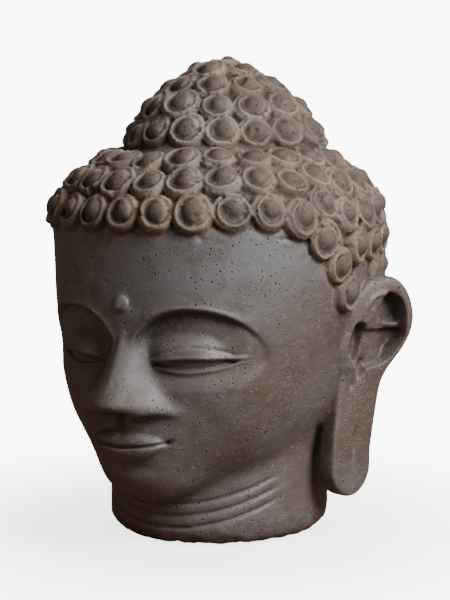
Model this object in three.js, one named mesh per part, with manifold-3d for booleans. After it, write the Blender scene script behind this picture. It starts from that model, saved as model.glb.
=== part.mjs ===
// A carved stone Buddha head, cut from one block: snail-curl hair, a domed topknot, long-lobed ears,
// lowered eyes and a short neck that is cut flat to stand on. Millimetres, +Z up, the face towards -Y.
import * as THREE from "three";
import { ConvexHull } from "three/addons/math/ConvexHull.js";
import { mergeVertices } from "three/addons/utils/BufferGeometryUtils.js";
import Module from "manifold-3d";

// ---------------------------------------------------------------- driving dimensions
const HEIGHT = 400; // from the cut of the neck to the peak of the topknot
const CANON_FINGERS = 23.5; // heights of the sculptors' canon: neck 3, face 12.5, hair 4, topknot 4
const BASE = 0.9; // fingers of the canon's neck that the flat cut takes off
const FINGER = HEIGHT / (CANON_FINGERS - BASE); // millimetres in one finger width

// Everything below is in finger widths, measured from the head's axis at the foot of the canon's neck.
const BLOCK = {
  cranium: { at: [0, 0, 15.2], half: [7.35, 8.2], up: 4.4, down: 10.6, full: 2.2 },
  topknot: { at: [0, 0.5, 18.6], half: [5.1, 5.25], up: 4.4, down: 2, full: 1.57 },
  face: { at: [0, -1.5, 10.4], half: [6.3, 6.6], up: 8, down: 7.3, full: 2.3 },
  chin: { at: [0, -5.7, 4.95], half: [2.5, 2.25], up: 1.9, down: 1.9, full: 2 },
  muzzle: { at: [0, -5.3, 6.6], half: [2.9, 2.75], up: 1.9, down: 1.9, full: 2 },
};
const NECK = { half: [5.2, 5.5], atY: 0.1, flare: 0.02, flareTop: 2.5, top: 9, edge: 1.1 };
const HAIRLINE = 15.5;
const CURL = { pitch: 1.64, radius: 0.84, height: 0.5, row: 1.45 };
const TEMPLE = { from: 50, to: 87, drop: 4.2, power: 2.2 }; // degrees round from the face, fingers down
const NAPE = { from: 106, height: 5.3, rise: 3.4 };
const OVER_EAR = 13.6;
const KNOT_FOOT = 0.9; // the topknot's own curls start this far over its widest level

const BROW = { x: 3.1, z: 10.2, wide: 2.65, high: 2, edge: 0.14, deep: 0.55, fadeOut: [3.6, 5.6] };
const EYE = {
  ball: { x: 2.44, y: -6.37, z: 10.1, half: [1.95, 1.35, 1.2], turn: 23 },
  inner: 1.2,
  outer: 4.75,
  level: 9.72,
  lift: 0.16,
  upper: 0.13,
  lower: 0.36,
};
const NOSE = {
  root: 11.3,
  drop: 3.2,
  rootY: -8.2,
  proud: 1.8,
  crest: 0.4,
  slope: 0.62,
  base: 7.48,
  wing: { x: 0.95, y: -8.55, z: 7.98, half: [0.5, 0.66, 0.5] },
};
const MOUTH = { z: 6.02, half: 1.95, upper: 0.62, lower: 0.7, lift: 0.2 };
const URNA = { z: 12.35, radius: 0.38, proud: 0.15 };

// The ear stands on horizontal sections: u runs from its front edge to its back edge, w out of its face.
const EAR = {
  foot: 2.8,
  top: 13.25,
  lobe: { half: 1.4, round: 1.4 },
  shell: { half: 1.78, from: 7.6, full: 10.8, round: 1.75 },
  root: { x: [6.58, 7.15], y: [-0.65, 0.25], z: [4.2, 10.8] },
  flare: [12, 30],
  thick: [1.0, 2.9],
  freeTo: 6.8,
  joinedFrom: 9.4,
};
const BOWL = { u: 1.85, z: 11.05, half: [1.12, 1.72], deep: 0.72 };

// Spacing of the facets.
const SPACING = { jaw: 0.45, eye: 0.27, mouth: 0.24, nose: 0.34, brow: 0.4, face: 0.95, neck: 0.95, side: 0.9 };
const CENTRE = [0, 0.3, 11]; // every ray of the head starts here

// ---------------------------------------------------------------- shaping tools
const clamp = (v, low = 0, high = 1) => Math.min(high, Math.max(low, v));
const mix = (a, b, t) => a + (b - a) * t;
const ramp = (from, to, v) => {
  const t = clamp((v - from) / (to - from));
  return t * t * (3 - 2 * t);
};
const bell = (v) => Math.exp(-v * v);
const join = (a, b, k) => Math.min(a, b) - Math.max(k - Math.abs(a - b), 0) ** 2 / (4 * k);
const cut = (a, b, k) => -join(-a, -b, k);
const degrees = (radians) => (radians * 180) / Math.PI;
const radians = (angle) => (angle * Math.PI) / 180;

// How far a point lies outside an egg: an ellipsoid with its own reach up and down, rounder or squarer by full.
function egg([x, y, z], { at, half, up, down, full }) {
  const reach = [half[0], half[1], z > at[2] ? up : down];
  const share = [x - at[0], y - at[1], z - at[2]].map((d, i) => Math.abs(d) / reach[i]);
  const size = Math.pow(share.reduce((sum, s) => sum + s ** full, 0), 1 / full);
  if (size < 1e-6) return -Math.min(...reach);
  const slope = Math.hypot(...share.map((s, i) => s ** (full - 1) / reach[i])) * size ** (1 - full);
  return (size - 1) / slope;
}

// ---------------------------------------------------------------- the head
function neck([x, y, z]) {
  const spread = 1 + NECK.flare * clamp((NECK.flareTop - z) / NECK.flareTop, 0, 2) ** 2;
  const size = Math.hypot(x / NECK.half[0], (y - NECK.atY) / NECK.half[1]) / spread;
  const side = (size - 1) * NECK.half[0];
  return cut(cut(side, z - NECK.top, 0.5), BASE - z, NECK.edge);
}

function hairBlock(p) {
  const nape = join(egg(p, BLOCK.cranium), neck(p), 1.4);
  return join(nape, egg(p, BLOCK.topknot), 0.45);
}

// The straight ridge and flat sides of the nose, closed below by its base.
function nose([x, y, z]) {
  const side = Math.abs(x);
  const down = clamp((NOSE.root - z) / NOSE.drop, 0, 1.15);
  const ridge = NOSE.rootY - NOSE.proud * down ** 1.25;
  const crest = NOSE.crest + 0.1 * ramp(9, 8, z) + 0.5 * ramp(10.7, 11.8, z);
  const flank = (side - crest - NOSE.slope * (y - ridge)) / Math.hypot(1, NOSE.slope);
  const base = NOSE.base + 0.2 * (-8.3 - y) - z;
  const within = Math.max(z - NOSE.root - 0.7, y + 6.5);
  const bridge = Math.max(cut(cut(flank, (ridge - y) * 0.8, 0.25), base, 0.3), within);
  const { wing } = NOSE;
  const flesh = { at: [wing.x, wing.y, wing.z], half: wing.half, up: wing.half[2], down: wing.half[2], full: 2 };
  return join(bridge, egg([side, y, z], flesh), 0.28);
}

function eyeball([x, y, z]) {
  const { ball } = EYE;
  const turn = radians(ball.turn);
  const dx = Math.abs(x) - ball.x;
  const dy = y - ball.y;
  const along = dx * Math.cos(turn) + dy * Math.sin(turn);
  const outward = dy * Math.cos(turn) - dx * Math.sin(turn);
  const shape = { at: [0, 0, 0], half: ball.half, up: ball.half[2], down: ball.half[2], full: 2 };
  return egg([along, outward, z - ball.z], shape);
}

// How far the brow's hollow is cut back at a point of the face.
function socket(side, z) {
  const round = Math.hypot((side - BROW.x) / BROW.wide, (z - BROW.z) / BROW.high);
  const edge = ramp(1, 1 - BROW.edge, round);
  const lower = ramp(8.4, 10, z);
  const outer = 1 - ramp(...BROW.fadeOut, side);
  return BROW.deep * edge * lower * (0.25 + 0.75 * outer) * (1 - 0.25 * ramp(1.5, 4, side));
}

function lids(side, z) {
  const share = (side - EYE.inner) / (EYE.outer - EYE.inner);
  if (share < -0.12 || share > 1.15) return 0;
  const arch = Math.sin(Math.PI * clamp(share));
  const level = EYE.level + EYE.lift * share;
  const upper = level + EYE.upper * arch;
  const lower = level - EYE.lower * arch ** 0.8;
  const open = ramp(lower - 0.03, lower + 0.05, z) * (1 - ramp(upper - 0.05, upper + 0.03, z)) * ramp(0, 0.15, arch);
  const fade = ramp(-0.12, 0.04, share) * (1 - ramp(1, 1.15, share));
  const upperRim = 0.08 * bell((z - upper - 0.12) / 0.1) * fade;
  const lowerRim = 0.05 * bell((z - lower + 0.1) / 0.09) * fade;
  return upperRim + lowerRim - 0.14 * open;
}

// The height of the line between the lips.
const lipLine = (side) => MOUTH.z - 0.05 * bell(side / 0.45) + MOUTH.lift * Math.min(side / MOUTH.half, 1.2) ** 3;

function lips(side, z) {
  const t = side / MOUTH.half;
  const line = lipLine(side);
  if (t >= 1) return -0.12 * bell((z - line) / 0.12) * bell((t - 1) / 0.12);
  const upper = (MOUTH.upper - 0.1 * bell(side / 0.2)) * (1 - t ** 2.2) ** 0.8;
  const lower = MOUTH.lower * (1 - t ** 2.4) ** 0.8;
  const rise = z > line ? (z - line) / upper : (line - z) / lower;
  const proud = z > line ? 0.3 : 0.34;
  const body = rise < 1 ? 0.1 + proud * Math.sqrt(1 - rise * rise) : 0.1 * (1 - ramp(0, 0.12, (rise - 1) * upper));
  const corner = 1 - t ** 5;
  return body * corner - 0.24 * bell((z - line) / 0.07);
}

// All that stands proud of the face, or is cut into it.
function faceRelief([x, y, z]) {
  if (y > -3) return 0;
  const side = Math.abs(x);
  const philtrum = ramp(6.6, 6.85, z) * (1 - ramp(7.35, 7.6, z));
  const lip = -0.1 * bell(side / 0.2) + 0.05 * bell((side - 0.4) / 0.14);
  const underLip = -0.14 * bell((z - 5.02) / 0.25) * bell(side / 1.2);
  const urna = URNA.proud * ramp(URNA.radius + 0.03, URNA.radius - 0.06, Math.hypot(x, z - URNA.z));
  const relief = lips(side, z) + lip * philtrum + underLip + urna - socket(side, z);
  return relief * ramp(-3, -5, y);
}

function mask(p) {
  const muzzle = join(egg(p, BLOCK.chin), egg(p, BLOCK.muzzle), 1);
  return join(egg(p, BLOCK.face), muzzle, 1.4);
}

// The bare head: below zero inside the stone.
function head(p) {
  const skull = join(egg(p, BLOCK.cranium), mask(p), 0.9) - faceRelief(p);
  const features = join(join(skull, eyeball(p), 0.22) - lids(Math.abs(p[0]), p[2]) * (p[1] < -5), nose(p), 0.22);
  const withNeck = join(features, neck(p), p[1] > 0 ? 1.2 : 0.35);
  return join(withNeck, egg(p, BLOCK.topknot), 0.45);
}

// ---------------------------------------------------------------- curls
const add = (a, b, k = 1) => a.map((v, i) => v + k * b[i]);
const gap = (a, b) => Math.hypot(a[0] - b[0], a[1] - b[1], a[2] - b[2]);
const unit = (a) => a.map((v) => v / Math.hypot(...a));

function outwardOf(field, p) {
  const step = 1e-3;
  return unit([0, 1, 2].map((i) => field(add(p, [0, 0, 0].with(i, step))) - field(add(p, [0, 0, 0].with(i, -step)))));
}

// Moves a point onto the surface of the hair's block.
function settle(p) {
  for (let i = 0; i < 4; i++) p = add(p, outwardOf(hairBlock, p), -hairBlock(p));
  return p;
}

// The height of the hair's edge at an angle round from the face.
function hairEdge(angle) {
  const middle = HAIRLINE + CURL.radius * 0.9;
  if (angle <= TEMPLE.to) {
    const t = clamp((angle - TEMPLE.from) / (TEMPLE.to - TEMPLE.from));
    return middle - TEMPLE.drop * t ** TEMPLE.power;
  }
  if (angle < NAPE.from) return OVER_EAR;
  return NAPE.height + NAPE.rise * ((180 - angle) / (180 - NAPE.from)) ** 3;
}

const roundOf = (p) => {
  const [a, b] = BLOCK.cranium.half;
  return degrees(Math.atan2(Math.abs(p[0]) / a, -p[1] / b));
};

// The share of an egg's half width that is left at a height.
function widthShare({ at, up, down, full }, z) {
  const rise = z - at[2];
  return (1 - clamp(Math.abs(rise) / (rise > 0 ? up : down)) ** full) ** (1 / full);
}

function onCranium(angle, z, side = 1) {
  const [a, b] = BLOCK.cranium.half;
  const turn = radians(angle);
  const share = Math.max(0.55, widthShare(BLOCK.cranium, z));
  return settle([side * a * share * Math.sin(turn), -b * share * Math.cos(turn), z]);
}

// Points one pitch apart along a path of angles, the first of them half a pitch or a whole one from the middle.
function alongEdge(from, to, first) {
  const row = [];
  let last = onCranium(from, hairEdge(from));
  let travelled = CURL.pitch - first;
  for (let angle = from + 0.25; angle <= to; angle += 0.25) {
    const p = onCranium(angle, hairEdge(angle));
    travelled += gap(p, last);
    last = p;
    if (travelled >= CURL.pitch) {
      row.push(p);
      travelled = 0;
    }
  }
  return row;
}

// Rings of curls above and below the hairline's level, one row apart up the front of the cranium.
function ringLevels() {
  const levels = [];
  const top = BLOCK.topknot.at[2] + 0.6;
  for (const way of [1, -1]) {
    let last = onCranium(0, hairEdge(0));
    let travelled = 0;
    for (let z = hairEdge(0); z < top && z > NAPE.height; z += 0.02 * way) {
      const p = way > 0 ? onCranium(0, z) : onCranium(180, z);
      if (way < 0 && travelled === 0 && last[1] < 0) last = p;
      travelled += gap(p, last);
      last = p;
      if (travelled >= CURL.row) {
        levels.push(z);
        travelled = 0;
      }
    }
  }
  return [...levels, hairEdge(0)].sort((a, b) => b - a);
}

function ring(z, shift, place) {
  const count = 180;
  const points = Array.from({ length: count + 1 }, (_, i) => place((i * 360) / count, z));
  const steps = points.slice(1).map((p, i) => gap(p, points[i]));
  const length = steps.reduce((sum, s) => sum + s, 0);
  const number = Math.round(length / CURL.pitch);
  const row = [];
  let travelled = 0;
  let next = (shift * length) / number;
  steps.forEach((step, i) => {
    while (next < travelled + step && row.length < number) {
      row.push(place(((i + (next - travelled) / step) * 360) / count, z));
      next += length / number;
    }
    travelled += step;
  });
  return row;
}

function onTopknot(angle, z) {
  const { at, half } = BLOCK.topknot;
  const share = widthShare(BLOCK.topknot, z);
  const turn = radians(angle);
  return [at[0] + half[0] * share * Math.sin(turn), at[1] - half[1] * share * Math.cos(turn), z];
}

// The levels of the topknot's rings, one row apart from its crown down to its foot.
function knotLevels() {
  const { at, up } = BLOCK.topknot;
  const levels = [];
  let last = [at[0], at[1], at[2] + up];
  let travelled = 0;
  for (let z = at[2] + up - 0.01; z > at[2] + KNOT_FOOT; z -= 0.01) {
    const p = onTopknot(0, z);
    travelled += gap(p, last);
    last = p;
    if (travelled >= CURL.row) {
      levels.push(z);
      travelled = 0;
    }
  }
  return levels;
}

const onCraniumAllRound = (angle, z) => onCranium(angle > 180 ? 360 - angle : angle, z, angle > 180 ? -1 : 1);

function layCurls() {
  const mirrored = (row) => row.flatMap((p) => (Math.abs(p[0]) < 0.1 ? [p] : [p, [-p[0], p[1], p[2]]]));
  const front = mirrored([onCranium(0, hairEdge(0)), ...alongEdge(0, TEMPLE.to, CURL.pitch)]);
  const nape = mirrored(alongEdge(NAPE.from, 180, CURL.pitch / 2));
  const knot = knotLevels().flatMap((z, i) => ring(z, (i % 2) / 2, onTopknot));
  const fixed = [...front, ...nape, ...knot, [0, BLOCK.topknot.at[1], BLOCK.topknot.at[2] + BLOCK.topknot.up]];
  const loose = [];
  ringLevels().forEach((z, i, levels) => {
    const shift = Math.abs(levels.indexOf(hairEdge(0)) - i) % 2 ? 0.5 : 0;
    for (const p of ring(z, shift, onCraniumAllRound)) {
      if (p[2] < hairEdge(roundOf(p)) + 0.3) continue;
      if (fixed.some((q) => gap(p, q) < CURL.pitch * 0.72)) continue;
      if (loose.some((q) => gap(p, q) < CURL.pitch * 0.6)) continue;
      loose.push(p);
    }
  });
  for (let pass = 0; pass < 24; pass++) {
    const moved = loose.map((p, i) => {
      let push = [0, 0, 0];
      for (const q of [...fixed, ...loose]) {
        const d = gap(p, q);
        if (q !== p && d < CURL.pitch) push = add(push, add(p, q, -1), ((CURL.pitch - d) / d) * 0.3);
      }
      return settle(add(p, push));
    });
    moved.forEach((p, i) => (loose[i] = p));
  }
  return [...fixed.map(settle), ...loose].map((at) => ({ at, out: outwardOf(hairBlock, at) }));
}

// A curl is a steep-sided button: its height over the hair at a distance from its axis.
function curlHeight(p, { at, out }) {
  const from = add(p, at, -1);
  const along = from[0] * out[0] + from[1] * out[1] + from[2] * out[2];
  const aside = Math.hypot(...add(from, out, -along)) / CURL.radius;
  return aside < 1 ? CURL.height * Math.sqrt(1 - aside ** 2.4) : 0;
}

// ---------------------------------------------------------------- ears
// One horizontal section of an ear: where its front edge stands, how far it flares, how wide and thick it is.
function earSection(z) {
  const { lobe, shell, root, flare, thick } = EAR;
  const risen = ramp(...root.z, z);
  const full = mix(lobe.half, shell.half, ramp(shell.from, shell.full, z));
  const below = clamp((EAR.foot + lobe.round - z) / lobe.round);
  const above = clamp((z - EAR.top + shell.round) / shell.round);
  return {
    x: mix(...root.x, risen),
    y: mix(...root.y, risen),
    turn: radians(mix(...flare, risen)),
    middle: full,
    half: full * Math.sqrt(1 - below ** 2.2) * Math.sqrt(1 - above ** 2.2),
    thick: mix(...thick, ramp(EAR.freeTo, EAR.joinedFrom, z)),
  };
}

// How far the ear's face is hollowed at a place on it.
function earHollow(u, z) {
  const within = Math.hypot((u - BOWL.u) / BOWL.half[0], (z - BOWL.z) / BOWL.half[1]);
  const bowl = BOWL.deep * ramp(1.05, 0.72, within);
  const shelf = 0.36 * bell((z - 11.3 - 0.12 * (u - 1.8)) / 0.24) * ramp(1, 0.8, within);
  const slot = 0.55 * bell((u - 0.45) / 0.22) * ramp(9.4, 9.9, z) * ramp(11.3, 10.7, z);
  const notch = 0.35 * bell((u - 1.3) / 0.22) * ramp(8.2, 8.9, z) * ramp(9.8, 9.3, z);
  const crease = 0.14 * bell((u - 1.5) / 0.2) * ramp(4.4, 5.2, z) * ramp(7.6, 6.8, z);
  return bowl - shelf + slot + notch + crease;
}

// A closed loft of the ear's sections, from the foot of the lobe to the top of the shell.
function earGeometry(side) {
  const across = [-1, -0.88, -0.68, -0.5, -0.3, -0.1, 0.14, 0.36, 0.58, 0.78, 0.92, 1];
  const behind = [0.85, 0.3, -0.35, -0.9];
  const levels = 25;
  const place = (section, u, w, z) => [
    side * (section.x + u * Math.sin(section.turn) + w * Math.cos(section.turn)),
    section.y + u * Math.cos(section.turn) - w * Math.sin(section.turn),
    z,
  ];
  const rings = Array.from({ length: levels }, (_, i) => {
    const z = mix(EAR.foot, EAR.top, (1 - Math.cos((Math.PI * (i + 0.5)) / levels)) / 2);
    const section = earSection(z);
    const spread = (t) => section.middle + section.half * t;
    const outer = across.map((t) => {
      const u = spread(t);
      return place(section, u, -earHollow(u, z) - 0.42 * Math.abs(t) ** 7, z);
    });
    const inner = behind.map((t) => {
      const u = spread(t);
      return place(section, u, -mix(section.thick, 0.95, clamp(u / (2 * section.middle))), z);
    });
    return [...outer, ...inner];
  });
  const cap = (z, ring) => {
    const middle = [0, 1, 2].map((k) => ring.reduce((sum, p) => sum + p[k], 0) / ring.length);
    return [middle[0], middle[1], z];
  };
  const positions = [];
  const triangle = (a, b, c) => positions.push(...a, ...(side > 0 ? [...b, ...c] : [...c, ...b]));
  const size = rings[0].length;
  for (let j = 0; j < size; j++) {
    const k = (j + 1) % size;
    triangle(rings[0][k], rings[0][j], cap(EAR.foot, rings[0]));
    triangle(rings[levels - 1][j], rings[levels - 1][k], cap(EAR.top, rings[levels - 1]));
    for (let i = 0; i + 1 < levels; i++) {
      triangle(rings[i][j], rings[i][k], rings[i + 1][j]);
      triangle(rings[i][k], rings[i + 1][k], rings[i + 1][j]);
    }
  }
  return new THREE.BufferGeometry().setAttribute("position", new THREE.Float32BufferAttribute(positions, 3));
}

// ---------------------------------------------------------------- from field to facets
const curls = layCurls();
curls.forEach((curl) => (curl.way = unit(add(curl.at, CENTRE, -1))));

// The outermost point of the carved head in one direction from its centre.
function surfaceAt(way) {
  const near = curls.filter((c) => c.way[0] * way[0] + c.way[1] * way[1] + c.way[2] * way[2] > 0.97);
  const field = (r) => {
    const p = add(CENTRE, way, r);
    return head(p) - Math.max(0, ...near.map((curl) => curlHeight(p, curl)));
  };
  const least = 0.04;
  let out = 13.5;
  let low = out;
  for (let f = field(out); f > 0; f = field(low)) {
    out = low;
    low -= Math.max(least, f * 0.6);
  }
  for (let i = 0; i < 14; i++) {
    const middle = (low + out) / 2;
    if (field(middle) > 0) out = middle;
    else low = middle;
  }
  const p = add(CENTRE, way, (low + out) / 2);
  return p[2] < BASE + 2e-3 ? [p[0], p[1], BASE] : p;
}

// Facet corners are taken in turn, each kept only if it is far enough from those before it.
class Corners {
  cell = 0.5;
  grid = new Map();
  ways = [];
  key = (a) => a.map((v) => Math.floor(v / this.cell)).join();

  crowded(p, spacing) {
    const reach = Math.ceil(spacing / this.cell);
    const c = p.map((v) => Math.floor(v / this.cell));
    for (let i = -reach; i <= reach; i++)
      for (let j = -reach; j <= reach; j++)
        for (let k = -reach; k <= reach; k++) {
          const found = this.grid.get([c[0] + i, c[1] + j, c[2] + k].join());
          if (found && found.some((q) => gap(p, q) < spacing)) return true;
        }
    return false;
  }

  add(p, spacing) {
    if (this.crowded(p, spacing)) return;
    const key = this.key(p);
    if (!this.grid.has(key)) this.grid.set(key, []);
    this.grid.get(key).push(p);
    this.ways.push(unit(add(p, CENTRE, -1)));
  }
}

// How far apart the facets' corners are on the bare stone.
function spacingAt([x, y, z]) {
  const side = Math.abs(x);
  const underJaw = y < 1 && Math.max(Math.abs(mask([x, y, z])), Math.abs(neck([x, y, z]))) < 0.3;
  if (underJaw) return SPACING.jaw;
  if (z < 2.9) return SPACING.neck;
  if (y > -4.5) return SPACING.side;
  if (side < 2.4 && z > 5 && z < 7) return SPACING.mouth;
  if (side > 1 && side < 5 && z > 8.9 && z < 10.5) return SPACING.eye;
  if (side < 1.9 && z >= 7 && z < 11.5) return SPACING.nose;
  if (Math.hypot(x, z - URNA.z) < 0.8) return SPACING.eye;
  if (side < 5.6 && z >= 8.9 && z < 12.6) return SPACING.brow;
  return SPACING.face;
}

function tangents(out) {
  const across = unit([-out[1], out[0], 1e-6]);
  const up = [
    out[1] * across[2] - out[2] * across[1],
    out[2] * across[0] - out[0] * across[2],
    out[0] * across[1] - out[1] * across[0],
  ];
  return [across, up];
}

function ringAround({ at, out }, radius, count, turn = 0) {
  const [across, up] = tangents(out);
  return Array.from({ length: count }, (_, i) => {
    const angle = ((i + turn) * 2 * Math.PI) / count;
    return add(add(at, across, radius * Math.cos(angle)), up, radius * Math.sin(angle));
  });
}

// The front of the face at a place on it, found from in front.
function frontAt(x, z) {
  let y = -10.6;
  while (y < 0 && head([x, y, z]) > 0.004) y += Math.max(0.004, head([x, y, z]) * 0.5);
  return [x, y, z];
}

const along = (count, make) => Array.from({ length: count + 1 }, (_, i) => make(i / count));

// The carved lines of the face, as rows of places [side, z].
function carvedLines() {
  const rows = [];
  for (const round of [1.02, 0.85])
    rows.push(
      along(26, (t) => {
        const angle = Math.PI * mix(1.1, 0.02, t);
        return [BROW.x + BROW.wide * round * Math.cos(angle), BROW.z + BROW.high * round * Math.sin(angle)];
      }),
    );
  for (const offset of [0.3, 0.14, 0, -0.1])
    rows.push(
      along(12, (t) => {
        const level = EYE.level + EYE.lift * t + EYE.upper * Math.sin(Math.PI * t);
        return [mix(EYE.inner, EYE.outer, t), level + offset];
      }),
    );
  for (const offset of [0, -0.22])
    rows.push(
      along(12, (t) => {
        const level = EYE.level + EYE.lift * t - EYE.lower * Math.sin(Math.PI * t) ** 0.8;
        return [mix(EYE.inner, EYE.outer, t), level + offset];
      }),
    );
  for (const share of [-1.12, -0.95, -0.6, -0.25, 0, 0.25, 0.6, 0.95, 1.12])
    rows.push(
      along(8, (t) => {
        const thick = (share > 0 ? MOUTH.upper : MOUTH.lower) * (1 - Math.min(1, t) ** 2.3) ** 0.8;
        return [MOUTH.half * t, lipLine(MOUTH.half * t) + share * thick];
      }),
    );
  for (const offset of [-0.12, 0.12]) rows.push(along(12, (t) => [NOSE.crest + offset, mix(7.8, 11.4, t)]));
  for (const under of [-0.12, 0.02, 0.2]) rows.push(along(7, (t) => [1.4 * t, NOSE.base + under + 0.12 * t]));
  return rows;
}

// The rim of the neck's flat cut, and the round of its edge.
function rimPlaces() {
  const rings = [
    [1, NECK.edge],
    [0.98, 0.42],
    [0.93, 0.12],
    [0.79, 0],
  ];
  const count = 40;
  return rings.flatMap(([share, rise]) =>
    Array.from({ length: count }, (_, i) => {
      const angle = (i * 2 * Math.PI) / count;
      return [NECK.half[0] * share * Math.sin(angle), NECK.atY - NECK.half[1] * share * Math.cos(angle), BASE + rise];
    }),
  );
}

// The hollows between a curl and its neighbours, and round it where it has none.
function valleysRound(curl) {
  const others = curls.filter((other) => other !== curl && gap(other.at, curl.at) < CURL.pitch * 1.4);
  const between = others.map((other) => curl.at.map((v, i) => (v + other.at[i]) / 2));
  const open = ringAround(curl, CURL.radius * 1.13, 12);
  return [...open.filter((p) => others.every((other) => gap(other.at, p) > CURL.radius * 1.07)), ...between];
}

function cornersOfHead() {
  const corners = new Corners();
  for (const curl of curls) corners.add(curl.at, 0);
  for (const curl of curls) for (const p of ringAround(curl, CURL.radius * 0.72, 8)) corners.add(p, 0.3);
  for (const curl of curls) for (const p of valleysRound(curl)) corners.add(p, 0.28);
  for (const p of rimPlaces()) corners.add(p, 0.05);
  for (const row of carvedLines())
    for (const [side, z] of row) for (const x of [side, -side]) corners.add(frontAt(x, z), 0.13);
  const golden = Math.PI * (3 - Math.sqrt(5));
  const tries = 30000;
  const hairReach = CURL.radius * 1.3;
  for (let i = 0; i < tries; i++) {
    const z = 1 - (2 * i + 1) / tries;
    const round = Math.sqrt(1 - z * z);
    const way = [round * Math.cos(golden * i), round * Math.sin(golden * i), z];
    if (z < -0.97) continue;
    const bare = surfaceAt(way);
    if (curls.some((c) => gap(c.at, bare) < hairReach)) continue;
    corners.add(bare, spacingAt(bare));
  }
  corners.ways.push([0, 0, -1]);
  return corners.ways;
}

function headGeometry() {
  const ways = cornersOfHead();
  const points = ways.map((way) => new THREE.Vector3(...way));
  const place = new Map(points.map((point, i) => [point, surfaceAt(ways[i])]));
  const positions = [];
  for (const face of new ConvexHull().setFromPoints(points).faces) {
    let edge = face.edge;
    do {
      positions.push(...place.get(edge.head().point));
      edge = edge.next;
    } while (edge !== face.edge);
  }
  return new THREE.BufferGeometry().setAttribute("position", new THREE.Float32BufferAttribute(positions, 3));
}

// ---------------------------------------------------------------- one stone
const wasm = await Module();
wasm.setup();

function solidOf(geometry) {
  const merged = mergeVertices(geometry, 1e-5);
  return new wasm.Manifold(
    new wasm.Mesh({
      numProp: 3,
      vertProperties: merged.attributes.position.array,
      triVerts: new Uint32Array(merged.index.array),
    }),
  );
}

function geometryOf(solid) {
  const { vertProperties, triVerts } = solid.getMesh();
  return new THREE.BufferGeometry()
    .setAttribute("position", new THREE.BufferAttribute(vertProperties, 3))
    .setIndex(new THREE.BufferAttribute(triVerts, 1));
}

const stone = [earGeometry(1), earGeometry(-1)].reduce((solid, ear) => solid.add(solidOf(ear)), solidOf(headGeometry()));
const carved = geometryOf(stone).toNonIndexed();
carved.computeVertexNormals();
carved.computeBoundingBox();

const buddhaHead = new THREE.Mesh(
  carved,
  new THREE.MeshStandardMaterial({ color: "#5a4f48", roughness: 0.6, metalness: 0, flatShading: true }),
);
buddhaHead.name = "buddha_head";
buddhaHead.scale.setScalar(FINGER);
buddhaHead.position.set(0, (-FINGER * (carved.boundingBox.min.y + carved.boundingBox.max.y)) / 2, -BASE * FINGER);

export default new THREE.Group().add(buddhaHead);
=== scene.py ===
"""A Buddha head carved from one block of dark volcanic stone, standing on the flat cut of its own neck.

The stone is one closed mesh. Its bare form is a solid worked out as a field (below zero inside the stone) and
taken off as a surface. The snail curls are laid out by rule and set by Geometry Nodes, then everything is fused,
rubbed down, pitted and thinned. The shaping is done in finger widths, the sculptor's unit, from the head's axis.
"""

import math

import bpy
import numpy as np
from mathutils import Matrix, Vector
from mathutils.kdtree import KDTree


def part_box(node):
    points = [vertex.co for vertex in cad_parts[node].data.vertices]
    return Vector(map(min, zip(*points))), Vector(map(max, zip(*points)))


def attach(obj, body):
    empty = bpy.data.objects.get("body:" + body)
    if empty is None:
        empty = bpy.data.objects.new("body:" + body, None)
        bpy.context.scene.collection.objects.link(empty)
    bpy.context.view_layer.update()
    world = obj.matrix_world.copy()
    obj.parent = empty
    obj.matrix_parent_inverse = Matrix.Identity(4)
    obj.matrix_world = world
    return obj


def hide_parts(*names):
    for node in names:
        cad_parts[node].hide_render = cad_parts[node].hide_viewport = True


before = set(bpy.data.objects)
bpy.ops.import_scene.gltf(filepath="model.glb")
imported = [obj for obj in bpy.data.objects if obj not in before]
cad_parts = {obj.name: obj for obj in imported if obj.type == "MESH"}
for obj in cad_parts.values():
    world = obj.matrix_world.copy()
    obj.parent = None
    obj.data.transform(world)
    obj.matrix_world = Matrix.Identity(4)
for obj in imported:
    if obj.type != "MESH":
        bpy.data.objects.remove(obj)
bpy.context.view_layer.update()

# ---------------------------------------------------------------- driving dimensions
CANON_FINGERS = 23.5
BASE = 0.9  # fingers of the canon's neck that the flat cut takes off
block_low, block_high = (np.array(corner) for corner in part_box("buddha_head"))
FINGER = (block_high[2] - block_low[2]) / (CANON_FINGERS - BASE)  # metres in one finger width

CRANIUM = dict(at=(0, 0, 15.2), half=(7.35, 8.2), up=4.4, down=10.6, full=2.2)
TOPKNOT = dict(at=(0, 0.5, 18.6), half=(5.1, 5.25), up=4.4, down=2, full=1.57)
FACE = dict(at=(0, -1.5, 10.4), half=(6.3, 6.6), up=8, down=7.3, full=2.3)
CHIN = dict(at=(0, -5.7, 4.95), half=(2.5, 2.25), up=1.9, down=1.9, full=2)
MUZZLE = dict(at=(0, -5.3, 6.6), half=(2.9, 2.75), up=1.9, down=1.9, full=2)
NECK = dict(half=(5.2, 5.5), at_y=0.1, flare=0.02, flare_top=2.5, top=9, edge=1.1)

HAIRLINE = 15.5
CURL = dict(pitch=1.64, radius=0.87, height=0.44, row=1.45)
TEMPLE = dict(start=50, stop=87, drop=4.2, power=2.2)  # degrees round from the face, fingers down
NAPE = dict(start=106, height=5.3, rise=3.4)
OVER_EAR = 13.6
KNOT_FOOT = 0.9

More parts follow.
